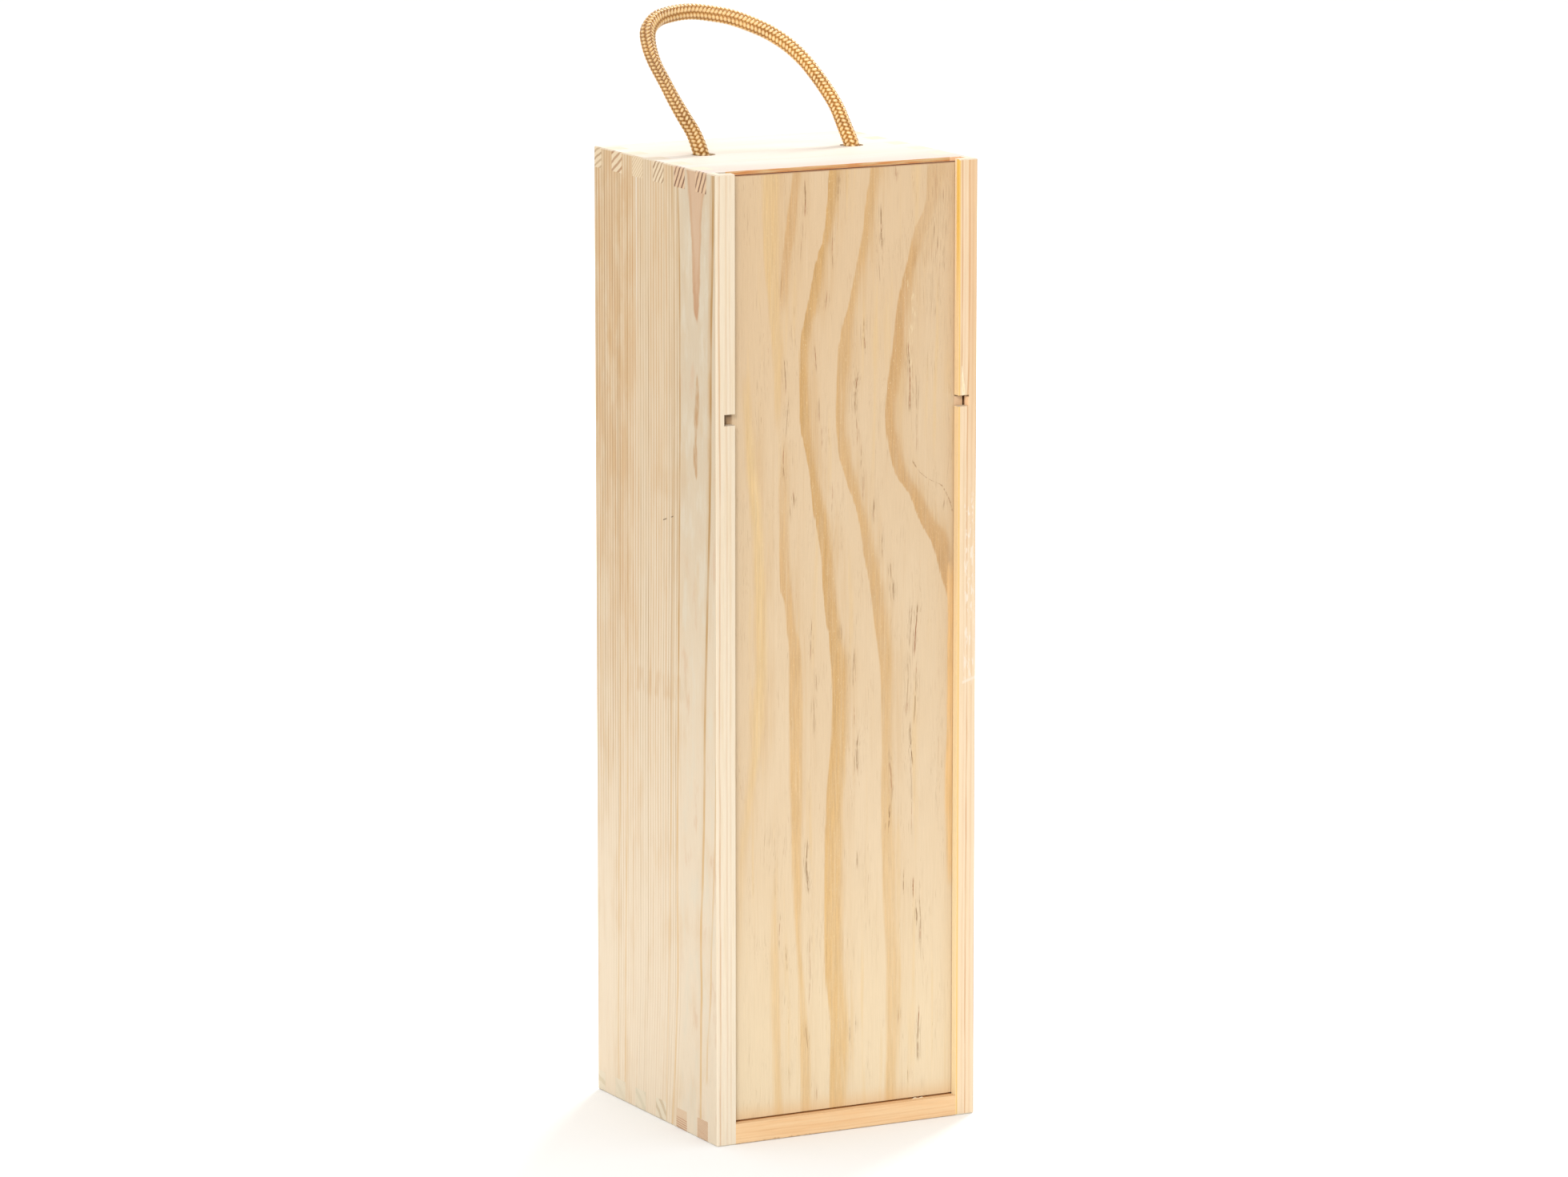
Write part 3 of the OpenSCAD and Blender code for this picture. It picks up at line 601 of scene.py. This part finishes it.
def plywood(name, seed, lid):
    """Rotary-cut plywood: broad wavy bands, fine upright fibres and short resin dashes.

    The hidden back panel has the lid's figure too, but turned round and stretched a little.
    """
    t = Tree(name)
    x, z = (t.x, t.z) if lid else (t.x * -0.96 + 3, HIGH - t.z * 0.97)
    ragged = (t.noise(x / 0.55, z / 22, seed) - 0.5) * 1.7 + (t.noise(x / 12, z / 50, seed) - 0.5) * 1.2
    place = x + ragged
    fibre = t.noise(x / 0.3, z / 11, seed + 3, detail=3, rough=0.6)
    streaks = t.noise(x / 1.1, z / 55, seed + 5, detail=4, rough=0.6)
    clouds = t.noise(x / 16, z / 70, seed + 8)
    wide = t.noise(x / 3.5, z / 80, seed + 21, detail=3)

    # Each band is darkest at its sharp left edge. Beyond its right edge it trails off in soft streaks.
    bands, trails, hue = [], [], (212, 166, 105)
    blur = z.ease(40, 210, 2.6, 1)
    for edges, soft_left, soft_right, power, tint in BANDS:
        start, stop = (t.curve(z, [(row[0], row[k]) for row in edges if row[k] is not None]) for k in (1, 2))
        much = t.curve(z, power)
        begin = (place - start).ease(blur * (-0.6 * soft_left), blur * (0.6 * soft_left))
        one = begin * (stop - place).ease(-soft_right * 0.45, soft_right * 0.7)
        one = one * ((place - start) / (stop - start + 0.5)).ease(0.1, 1, 1, 0.8) * much
        hue = t.mix((one * 3).least(1), hue, tint)
        bands.append(one)
        trails.append(begin * (place - stop).fall(-1, 7.5) * much)
    mottle = t.noise(x / 1.6, z / 14, seed + 27, detail=4, rough=0.65)
    bands = reduce(Val.most, bands) * streaks.ease(0.3, 0.6, 0.86, 1) * mottle.ease(0.34, 0.6, 0.78, 1)
    haze = t.noise(x / 3.2, z / 34, seed + 29, detail=3, rough=0.55)
    trails = (reduce(Val.most, trails) * haze.ease(0.36, 0.6, 0.25, 1) * streaks.ease(0.34, 0.6, 0.55, 1)
              * z.ease(100, 220, 0.5, 1))

    base = t.mix(clouds.ease(0.35, 0.7), (231, 204, 167), (235, 210, 175))
    base = t.lay(
        base,
        # Painted light and shade: darker towards the top and paler low down, as the floor's bounce light falls.
        (z.ease(120, 345) * 0.6, (223, 189, 147)),
        (z.ease(10, 130, 0.8, 0), (245, 224, 188)),
        (wide.ease(0.55, 0.75) * 0.35, (237, 198, 134)))
    colour = t.mix(trails * 0.62, base, (214, 174, 122))
    grain = t.noise(x / 0.45, z / 1.1, seed + 23, rough=0.7)
    tone = t.mix(z.ease(50, 210, 0.55, 0), hue, (242, 202, 136))
    tone = t.mix(streaks.ease(0.35, 0.65) * 0.35, tone, (222, 182, 126))
    tone = t.mix(grain.ease(0.5, 0.75) * 0.35, tone, (240, 206, 150))
    threads = t.noise(x / 0.6, z / 18, seed + 35, detail=4, rough=0.7)
    tone = t.times(tone, threads.ease(0.28, 0.66, 0.86, 1.1))
    colour = t.lay(
        colour,
        (bands * 0.97, tone),
        (streaks.ease(0.55, 0.75) * 0.16, (205, 165, 117)),
        (streaks.ease(0.25, 0.42, 0.2, 0), (247, 224, 190)))
    # Resin dashes: fine strokes in loose clusters, and fainter ones between them.
    tilt = (t.noise(z / 26, x / 22, seed + 11, detail=0) - 0.5) * 4
    shift = t.noise(x / 0.5, z / 60, seed + 31, detail=0) * 7
    strokes = t.noise((x + tilt) / 0.22, z / 7 + shift, seed + 13, detail=0)
    gather, fine = dashes(t, x + tilt, z)
    if lid:
        gather = gather.most(span(x + z * -0.12, -8, 3, 3) * span(z, 296, 344, 8) * clouds.ease(0.4, 0.6, 0.2, 0.5))
    fine = fine * t.noise(z / 3, x / 1.5, seed + 14, detail=1).ease(0.32, 0.55, 0.25, 1)
    around = strokes.ease(0.6, 0.72) * gather
    small = strokes.ease(0.66, 0.78) * t.noise(x / 6, z / 30, seed + 2).ease(0.45, 0.6) * (1 - bands)
    resin = (fine * 0.95).most(around * 0.68)
    rust = t.noise(x / 4, z / 12, seed + 15).ease(0.52, 0.6)
    colour = t.mix(resin.most(small * 0.32), colour, t.mix(rust, (136, 98, 54), (154, 88, 42)))
    specks = t.noise((x + tilt) / 0.5, z / 1.6, seed + 17, detail=1).ease(0.68, 0.76)
    colour = t.mix(specks * (bands * 0.5).most(gather * 0.5).most(0.1), colour, (252, 228, 182))
    if lid:
        # A wiggly dark line beside the last band, and pale torn fibres above it.
        off = abs(x + tilt * 0.5 - t.curve(z, [(221, 45.4), (226, 44), (229.5, 42.2), (232.5, 40.2), (234, 37),
                                                 (236, 33.5), (238.5, 30.5), (242, 28)]))
        wiggle = (off + t.noise(x / 1.1, z / 1.1, 3) * 1.6).fall(0.65, 1.15) * span(z, 223.5, 242, 1.5)
        colour = t.mix(wiggle * 0.6, colour, (150, 112, 70))
        off = abs(x + tilt * 0.5 - t.curve(z, [(264, 27.6), (284, 27.2), (297, 29), (303, 27.2), (310, 24.8)]))
        torn = off.fall(0.3, 1.6) * span(z, 265, 308, 3) * t.noise(x / 0.45, z / 4, 7).ease(0.52, 0.66)
        colour = t.mix(torn * 0.55, colour, (252, 230, 186))

    # The veneers show on the edges: a cross veneer between two long ones.
    thick = (t.y - LID_FRONT) / (LID_BACK - LID_FRONT) if lid else (t.y - PANEL_FRONT) / PANEL
    rim = abs(t.ny).fall(0.35, 0.7)
    middle = span(thick, 0.28, 0.72, 0.02)
    edge = t.mix(middle, (214, 176, 128), (166, 118, 74))
    edge = t.mix(t.noise(t.x / 2.5, t.y / 0.3, t.z / 2.5, detail=3).ease(0.35, 0.7) * 0.6, edge, (128, 84, 50))
    if lid:
        edge = t.mix(t.nz.ease(0.5, 0.9) * 0.95, edge,
                     t.mix(t.y.ease(-44.1, -43.5), (206, 156, 98), (90, 34, 2)))
        edge = t.mix(t.nz.fall(-0.9, -0.5), edge, (236, 166, 100))
        # painted shade along the lower end, over the gap under the lid
        low_end_painted_shade = t.z.fall(7.82, 8) * t.noise(t.x / 6, detail=3).ease(0.3, 0.6, 0.4, 1)
        face = t.y.fall(-44.4, -44)
        # Painted light on the lid's face inside the right notch, where the margin's painted shade is left off.
        lid_in_notch_painted_light = span(t.z, 261, 264.2, 0.3) * t.x.ease(44.9, 45.3) * face
        # Painted shadow where the side boards' notches bare the lid: under both notches' ceilings and down the left
        # notch's left wall.
        lid_notch_painted_shadow = t.x.fall(-45.3, -44) * span(t.z, 263.75, 265.2, 0.5).most(span(t.z, 262.6, 265.2, 1.4) * 0.35)
        lid_notch_painted_shadow = lid_notch_painted_shadow.most(t.x.ease(44.9, 45.5) * span(t.z, 264.5, 265.2, 0.4))
        lid_notch_painted_shadow = lid_notch_painted_shadow.most(t.x.fall(-46.9, -46.4) * span(t.z, 261.2, 265, 0.4) * 0.85)
        colour = t.lay(
            colour,
            # Painted light: a warm tint just above the lower end, as bounce light from below.
            (t.z.fall(8, 15) * 0.4, (240, 196, 140)),
            (low_end_painted_shade * 0.7, (134, 86, 44)),
            # Painted shadow of the left lip on the lid's left margin.
            (t.x.fall(-45.2, -43.9) * 0.62, (170, 126, 78)),
            # Painted shade beside the right lip, left off inside the right notch.
            (t.x.ease(44.4, 45.4) * 0.6 * (1 - lid_in_notch_painted_light), (206, 150, 94)),
            (lid_in_notch_painted_light, (0.93, 0.63, 0.38, 1)),
            (lid_notch_painted_shadow * face * 0.66, (88, 60, 30)),
            (t.z.ease(348.35, 348.6) * 0.5, (150, 96, 50)))
    colour = t.mix(rim, colour, edge)

    colour = t.times(colour, fibre.ease(0.2, 0.8, 0.96, 1.035))
    height = fibre * 0.03 + bands * 0.012 - resin * 0.05 - small * 0.02
    rough = (fibre.ease(0.2, 0.8, 0.5, 0.62) - bands * 0.04 + rim * 0.5).least(1)
    # Painted light and shade: the colour is a little brighter low down and darker towards the top.
    return t.finish(colour, rough, height, shade=t.z.ease(10, 260, 1.03, 0.925) * WOOD)


# ---- steel
def brad_steel():
    t = Tree("brad_steel")
    grain = t.noise(t.x / 0.25, t.y / 0.25, t.z / 0.25, detail=3)
    dents = t.noise(t.x / 0.9, t.y / 0.9, t.z / 0.9, detail=1)
    colour = t.mix(grain.ease(0.35, 0.7), (0.56, 0.55, 0.53, 1), (0.4, 0.38, 0.35, 1))
    colour = t.mix(dents.ease(0.62, 0.75) * 0.5, colour, (122, 88, 58))
    t.feed(t.shader, {"Metallic": 1})
    return t.finish(colour, grain.ease(0.3, 0.7, 0.28, 0.5), dents * 0.05 + grain * 0.01)


# ---- rope
def gold_rope():
    """Gold filaments that run along each strand. The first UV is round the strand and along it, in millimetres;
    the second is how high the strand lies in the braid and how far out on the strand the place is."""
    t = Tree("gold_rope")
    around, along, _ = t.split(t.uv)
    relief = t.new("UVMap", uv_map="relief")
    lift, out, _ = t.split(relief.outputs[0])
    filaments = t.noise(around * 3.2, along / 9)
    fine = t.noise(around * 9, along / 5, 4, detail=1)
    tone = t.noise(along / 3, t.x / 14, t.z / 14, detail=1)
    crest = lift.ease(0.4, 0.92) * out.ease(0.25, 0.92)
    painted_highlight = lift.ease(0.76, 0.99) * out.ease(0.78, 0.99) * filaments.ease(0.25, 0.65, 0.5, 1)
    colour = t.mix(filaments.ease(0.3, 0.7), (230, 164, 66), (206, 136, 42))
    colour = t.mix(tone.ease(0.4, 0.7) * 0.35, colour, (238, 186, 96))
    zone = t.noise(t.x / 8, t.z / 8, 6).ease(0.44, 0.62)
    colour = t.mix(zone * 0.5, colour, (176, 116, 32))
    # Painted shade: dark brown in the crevices between the strands' crests.
    colour = t.mix(crest, (126, 70, 10), colour)
    # Painted highlight on each strand's crest, in a colour above 1.
    colour = t.mix(painted_highlight * 0.75, colour, (1.5, 1.24, 0.78, 1))
    t.feed(t.shader, {"Coat Weight": 0.4, "Coat Roughness": 0.22, "Coat Tint": (1, 0.9, 0.62, 1)})
    # Painted light and shade: the rope is darker to the left and brighter to the right.
    return t.finish(colour, filaments.ease(0.3, 0.7, 0.32, 0.46), filaments * 0.05 + fine * 0.03, specular=0.4,
                    shade=t.x.ease(-36, 30, 0.51, 0.65))


def knot_curve(near, count=120, rounds=420):
    """The middle line of an overhand knot pulled tight on a vertical line, in millimetres.

    The line never comes nearer to itself than near.
    """
    t = np.linspace(-1.95, 1.95, count)
    p = np.stack([t ** 3 - 3 * t, t ** 4 - 4 * t ** 2 + 2, (t ** 5 - 10 * t) * 0.55], 1) * near * 0.85
    p[:, 2] *= -1
    reach = 5.5 * near
    p[0], p[-1] = (0, 0, reach), (0, 0, -reach)
    for _ in range(rounds):
        # keep the points evenly spaced
        step = np.linalg.norm(np.diff(p, axis=0), axis=1)
        along = np.concatenate([[0], np.cumsum(step)])
        at = np.linspace(0, along[-1], count)
        p = np.stack([np.interp(at, along, p[:, k]) for k in range(3)], 1)
        # a pull that shortens it, then room for the rope's own thickness
        p[1:-1] += 0.45 * ((p[:-2] + p[2:]) / 2 - p[1:-1])
        for gap in (2, 5):
            p[gap:-gap] += 0.1 * ((p[:-2 * gap] + p[2 * gap:]) / 2 - p[gap:-gap])
        apart = max(4, int(1.5 * near / (along[-1] / (count - 1))))
        index = np.arange(count)
        for _ in range(4):
            away = p[:, None] - p[None]
            far = np.linalg.norm(away, axis=2)
            close = (far < near) & (abs(index[:, None] - index[None]) > apart)
            push = np.where(close, (near - far) / 2 / np.maximum(far, 1e-6), 0)[..., None] * away
            share = np.maximum(close.sum(1), 1)[:, None]
            p += push.sum(1) / share * 1.2
        p[0], p[-1] = (0, 0, reach), (0, 0, -reach)
        p[1, :2] *= 0.5
        p[-2, :2] *= 0.5
    return p


def smooth_line(points, step):
    """Points about step apart on a smooth curve through points."""
    p = np.array(points, float)
    p = np.vstack([2 * p[0] - p[1], p, 2 * p[-1] - p[-2]])
    fine = []
    for a, b, c, d in zip(p[:-3], p[1:-2], p[2:-1], p[3:]):
        s = np.linspace(0, 1, 40, endpoint=False)[:, None]
        fine.append(0.5 * (2 * b + (c - a) * s + (2 * a - 5 * b + 4 * c - d) * s ** 2
                           + (3 * b - a - 3 * c + d) * s ** 3))
    fine = np.vstack(fine + [p[-2:-1]])
    along = np.concatenate([[0], np.cumsum(np.linalg.norm(np.diff(fine, axis=0), axis=1))])
    at = np.linspace(0, along[-1], int(round(along[-1] / step)) + 1)
    return np.stack([np.interp(at, along, fine[:, k]) for k in range(3)], 1), at


# The cord, in millimetres: a strand goes once round it in LEAD, has SIDES sides and is STRAND_WIDE by STRAND_THICK to
# each side of its middle, which lies RISE from the cord's middle and FLOAT_UP more or less where strands cross.
STRANDS, LEAD, SIDES = 16, 12.5, 8
STRAND_WIDE, STRAND_THICK = 0.76, 0.6
RISE, FLOAT_UP, CORE = 2.02, 0.36, 1.75
STEP, GIRTH, BUTTON = 0.4, 5, 2.55  # from ring to ring, round a strand in its texture, and the melted end's radius
rope_material = gold_rope()


def braid(name, points, thin, turn=0.0, cap=False):
    """A 6 mm cord of sixteen braided strands on the smooth line through points, in millimetres.

    thin gives the cord's thickness as a share of the full one at each share of its length.
    """
    path, along = smooth_line(points, STEP)
    count = len(path)
    tangent = np.gradient(path, axis=0)
    tangent /= np.linalg.norm(tangent, axis=1)[:, None]
    first = np.cross(tangent[0], (0.31, 0.93, 0.12))
    frames = [first / np.linalg.norm(first)]
    for i in range(1, count):
        n = frames[-1] - tangent[i] * (frames[-1] @ tangent[i])
        frames.append(n / np.linalg.norm(n))
    normal = np.array(frames)
    side = np.cross(tangent, normal)
    size = np.interp(along / along[-1], [a for a, _ in thin], [b for _, b in thin])
    verts, faces, uvs, heights = [], [], [], []
    phi = np.arange(SIDES) * 2 * math.pi / SIDES - math.pi / 2

    def tube(rings, marks, lifts=None):
        """Faces and texture places for rings of points."""
        start = sum(len(v) for v in verts)
        wide = rings.shape[1]
        verts.append(rings.reshape(-1, 3))
        up = np.zeros(len(rings)) if lifts is None else lifts * 0.5 + 0.5
        out = (1 - np.cos(2 * math.pi * np.arange(wide) / wide)) / 2
        heights.append(np.stack(np.broadcast_arrays(up[:, None], out[None]), 2).reshape(-1, 2))
        for i in range(len(rings) - 1):
            for j in range(wide):
                square = (i, j), (i, j + 1), (i + 1, j + 1), (i + 1, j)
                faces.append(tuple(start + a * wide + b % wide for a, b in square))
                uvs.append(tuple((b / wide * GIRTH, marks[a]) for a, b in square))
        for ring, flip in ((0, True), (len(rings) - 1, False)):
            loop = [start + ring * wide + j for j in range(wide)]
            faces.append(tuple(loop[::-1] if flip else loop))
            uvs.append(tuple((0.0, marks[ring]) for _ in range(wide)))

    for way in (1, -1):
        for k in range(STRANDS // 2):
            angle = way * 2 * math.pi * along / LEAD + 4 * math.pi * k / STRANDS + turn
            column = (angle - turn) / (2 * math.pi / STRANDS)
            lift = way * np.cos(math.pi / 2 * (column - 0.5))
            out = (RISE + FLOAT_UP * lift) * size
            radial = np.cos(angle)[:, None] * normal + np.sin(angle)[:, None] * side
            centre = path + radial * out[:, None]
            heading = np.gradient(centre, axis=0)
            heading /= np.linalg.norm(heading, axis=1)[:, None]
            across = np.cross(heading, radial)
            across /= np.linalg.norm(across, axis=1)[:, None]
            lifted = np.cross(across, heading)
            wide = STRAND_WIDE * size * (1 + 0.06 * lift)
            rings = (centre[:, None] + across[:, None] * (np.cos(phi)[None, :, None] * wide[:, None, None])
                     + lifted[:, None] * (np.sin(phi)[None, :, None] * (STRAND_THICK * size)[:, None, None]))
            tube(rings, along + 17.0 * k + 7.0 * way, lift)
    every = slice(None, None, 4)
    ring = np.arange(12) * math.pi / 6
    core = (path[every, None] + normal[every, None] * (np.cos(ring)[None, :, None] * CORE * size[every, None, None])
            + side[every, None] * (np.sin(ring)[None, :, None] * CORE * size[every, None, None]))
    tube(core, along[every])
    if cap:
        # the cut end, melted to a rounded button
        up = tangent[-1]
        rows = []
        for share in np.linspace(0, 1, 9):
            angle = share * math.pi * 0.98 + 0.02
            r = BUTTON * math.sin(angle) ** 0.8 * size[-1] * (1 + 0.05 * math.cos(3 * angle))
            at = path[-1] - up * math.cos(angle) * 1.1
            lumps = 1 + 0.07 * np.sin(ring * 3 + share * 4)
            spoke = np.cos(ring)[:, None] * normal[-1] + np.sin(ring)[:, None] * side[-1]
            rows.append(at + spoke * (r * lumps)[:, None])
        tube(np.array(rows), np.linspace(0, 3, 9))

    piece = solid(name, np.vstack(verts), faces, rope_material)
    corners = np.array([v for face in faces for v in face])
    strand = np.array([c for face in uvs for c in face])
    for layer, places in (("strand", strand), ("relief", np.vstack(heights)[corners])):
        piece.data.uv_layers.new(name=layer).data.foreach_set("uv", places.astype(np.float32).ravel())
    piece.data.polygons.foreach_set("use_smooth", [True] * len(faces))
    return piece, path


# The rope's route from hole to hole, about the middle between the two holes' mouths, in millimetres.
ROUTE_ORIGIN = np.array([(HOLE_LEFT + HOLE_RIGHT) / 2, HOLE_Y, HIGH])
ROUTE = [(-30.9, 0, 0), (-32.3, 3, 7), (-34.8, 6, 13), (-36.6, 10.5, 19), (-37.8, 15.5, 25), (-38.8, 21, 31),
         (-38.3, 26.5, 36.5), (-36.2, 31.5, 41.5), (-31, 35.5, 45), (-24, 37.5, 46.5), (-16, 38, 47), (-8, 37, 46),
         (-1, 35, 44.5), (5.5, 32.5, 42), (11.3, 29, 39), (16.3, 24.5, 35), (19.9, 20, 30.5), (22.6, 15.5, 25.5),
         (25.3, 11, 19.5), (27.2, 6.5, 13.5), (28.5, 3, 7), (30, 0, 0)]
IN_HOLE, HOLE_FROM_MIDDLE = 6.8, (HOLE_RIGHT - HOLE_LEFT) / 2
held_left, held_right = ([(x, 0, -IN_HOLE), (x, 0, -IN_HOLE / 2)] for x in (-HOLE_FROM_MIDDLE, HOLE_FROM_MIDDLE))
# The cord is drawn out a little thinner along its legs.
rope_thickness = [(0, 1), (0.06, 1), (0.09, 0.96), (0.14, 0.92), (0.2, 0.84), (0.25, 0.84), (0.3, 0.92), (0.36, 1.04),
                  (0.6, 1.04), (0.7, 0.98), (0.76, 0.93), (0.86, 0.93), (0.93, 0.97), (1, 1)]
rope_line = np.array(held_left + ROUTE + held_right[::-1]) + ROUTE_ORIGIN
rope, rope_path = braid("rope_loop_braid", rope_line, rope_thickness)

# Both knots are drawn up under the top board, round the middle of their holes. The rope that the holes hold is
# straight, and so is the loose end below each knot.
KNOT_TOP, HELD_TOP, END_LOW = 342.3, 344.5, 322.7
KNOT_THIN, KNOT_NEAR = 0.9, 5.0
TIED, APART = 6.0, 10  # the line's other part is nearer than TIED in the knot; the next APART points don't count
knot = knot_curve(KNOT_NEAR)
index = np.arange(len(knot))
near_by = np.where(abs(index[:, None] - index) > APART, np.linalg.norm(knot[:, None] - knot, axis=2), HIGH).min(1)
tied = np.flatnonzero(near_by < TIED)
knot = knot[tied[0]:tied[-1] + 1:2]
knot = knot - np.append((knot[0, :2] + knot[-1, :2]) / 2, knot[:, 2].max())
knot[:, 2] += KNOT_TOP - (RISE + FLOAT_UP + STRAND_THICK) * KNOT_THIN
end_x, end_y, end_z = knot[-1]
knot_route = np.vstack([[(0, 0, HELD_TOP), (0, 0, HELD_TOP - 1.3)], knot,
                        [(end_x + 0.4, end_y + 0.3, (end_z + END_LOW) / 2), (end_x + 0.9, end_y + 0.6, END_LOW)]])
knot_thickness = [(0, 1), (0.04, 0.96), (0.08, KNOT_THIN), (0.9, KNOT_THIN), (0.95, 1), (1, 1)]
for name, node, x, spin, turn in (("rope_knot_left_braid", "rope_knot_left", HOLE_LEFT, 0.6, 0.0),
                                  ("rope_knot_right_braid", "rope_knot_right", HOLE_RIGHT, 2.5, 1.1)):
    c, s = math.cos(spin), math.sin(spin)
    turned = knot_route @ np.array([[c, s, 0], [-s, c, 0], [0, 0, 1]])
    turned[:, :2] += (x, HOLE_Y)
    piece, _ = braid(name, turned, knot_thickness, turn, cap=True)
    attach(piece, "box")
    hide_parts(node)

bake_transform(rope)
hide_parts("rope_handle")

# ---- torn places
def torn_pine():
    t = Tree("torn_pine")
    fibre = t.noise(t.x / 0.2, t.y / 0.3, t.z / 2.6, detail=3.0)
    broad = t.noise(t.x / 0.8, 3.0, t.z / 2.5)
    colour = t.mix(fibre.ease(0.3, 0.7), (255, 238, 208), (240, 208, 164))
    colour = t.mix(broad.ease(0.45, 0.7) * 0.4, colour, (250, 214, 160))
    return t.finish(colour, fibre.ease(0.2, 0.8, 0.55, 0.7), fibre * 0.06, shade=WOOD)


def sliver(name, rings):
    """A closed solid through rings of points, in millimetres, that rides on the box."""
    rings = np.array(rings)
    count, wide = rings.shape[:2]
    faces = [tuple(range(wide))[::-1], tuple((count - 1) * wide + j for j in range(wide))]
    for i in range(count - 1):
        for j in range(wide):
            k = (j + 1) % wide
            faces.append((i * wide + j, i * wide + k, (i + 1) * wide + k, (i + 1) * wide + j))
    piece = solid(name, rings.reshape(-1, 3), faces, torn_material)
    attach(piece, "box")


torn_material = torn_pine()
random = np.random.default_rng(7)  # only the chip draws from it
# A lifted chip on the right lip, from a point down to the notch.
chip = []
for share in np.linspace(0.02, 1, 26):
    left_at = 46.25 - 0.1 * share + random.normal(0, 0.02)
    right_at = 46.35 + 2.1 * share ** 1.1 + random.normal(0, 0.03)
    low_at = 276.0 - 10.85 * share
    across = np.linspace(0, 1, 9)
    lifted = 0.04 + 0.42 * share ** 0.7 * np.sin(math.pi * across ** 1.8) ** 1.2 + random.normal(0, 0.008, 9)
    front_row = [(left_at + (right_at - left_at) * a, -HALF_D - h, low_at + (0.25 * a * (1 - a) if share == 1 else 0))
                 for a, h in zip(across, lifted)]
    chip.append(front_row + [(right_at, -HALF_D + 0.12, low_at), (left_at, -HALF_D + 0.12, low_at)])
sliver("lip_chip", chip)
# A splinter in front of the lid's lower end.
splinter = []
for share in np.linspace(0, 1, 22):
    swell = math.sin(math.pi * (0.03 + 0.94 * share)) ** 0.7
    high = (0.35 + 0.25 * math.sin(share * 9.0)) * swell + 0.05
    at = (28.5 + 4.6 * share, -45.15 + 0.08 * math.sin(share * 7.0), BOARD - 0.05)
    thick = 0.08 + 0.14 * swell
    splinter.append([(at[0], at[1] - thick, at[2]), (at[0], at[1] - thick * 0.8, at[2] + high * 0.6),
                     (at[0] + 0.1, at[1], at[2] + high), (at[0], at[1] + thick * 0.8, at[2] + high * 0.6),
                     (at[0], at[1] + thick, at[2])])
sliver("lid_splinter", splinter)

# ---- materials on the CAD nodes
side_material = pine_side()
for node, material in (("left_side", side_material), ("right_side", side_material), ("top_board", pine_top()),
                       ("bottom_board", pine_bottom()), ("sliding_lid", plywood("plywood_lid", 0, lid=True)),
                       ("back_panel", plywood("plywood_back", 40, lid=False)), ("back_brads", brad_steel())):
    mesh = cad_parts[node].data
    mesh.materials.clear()
    mesh.materials.append(material)

# ---- floor and light
def pale_floor():
    t = Tree("floor")
    speckle = t.noise(t.x / 60, t.y / 60, detail=3)
    # Painted shade: the floor is darker round the box.
    away = (t.x * t.x + t.y * t.y).root().ease(150, 900)
    tone = t.mix(away, (0.735, 0.73, 0.72, 1), t.mix(speckle, (0.85, 0.85, 0.85, 1), (0.86, 0.86, 0.86, 1)))
    return t.finish(tone, 0.9, speckle * 0.01, 0.1)


FLOOR = 14000  # half of the floor's side, in millimetres
floor = solid("floor", [(-FLOOR, -FLOOR, 0), (FLOOR, -FLOOR, 0), (FLOOR, FLOOR, 0), (-FLOOR, FLOOR, 0)],
              [(0, 1, 2, 3)], pale_floor())
floor.location.z = -0.03 * MM
floor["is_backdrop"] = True

scene.world = bpy.data.worlds.new("studio")
scene.world.use_nodes = True
sky = scene.world.node_tree.nodes["Background"]
sky.inputs["Color"].default_value = (1.0, 0.995, 0.985, 1)
sky.inputs["Strength"].default_value = 1.2


def softbox(name, place, target, size, power, colour=(1, 1, 1)):
    light = bpy.data.lights.new(name, "AREA")
    light.shape, light.size, light.energy, light.color = "SQUARE", size, power, colour
    obj = bpy.data.objects.new(name, light)
    scene.collection.objects.link(obj)
    obj.location = place
    obj.rotation_euler = (Vector(target) - Vector(place)).to_track_quat("-Z", "Y").to_euler()


softbox("key", (1.3, 1.2, 1.9), (0, 0, 0.15), size=0.7, power=48, colour=(1.0, 0.985, 0.96))
softbox("front", (-1.7, -2.2, 1.6), (0, 0, 0.18), size=0.7, power=50)

view = scene.view_settings
view.view_transform, view.look, view.exposure, view.gamma = "Standard", "None", 0, 1

low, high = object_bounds()
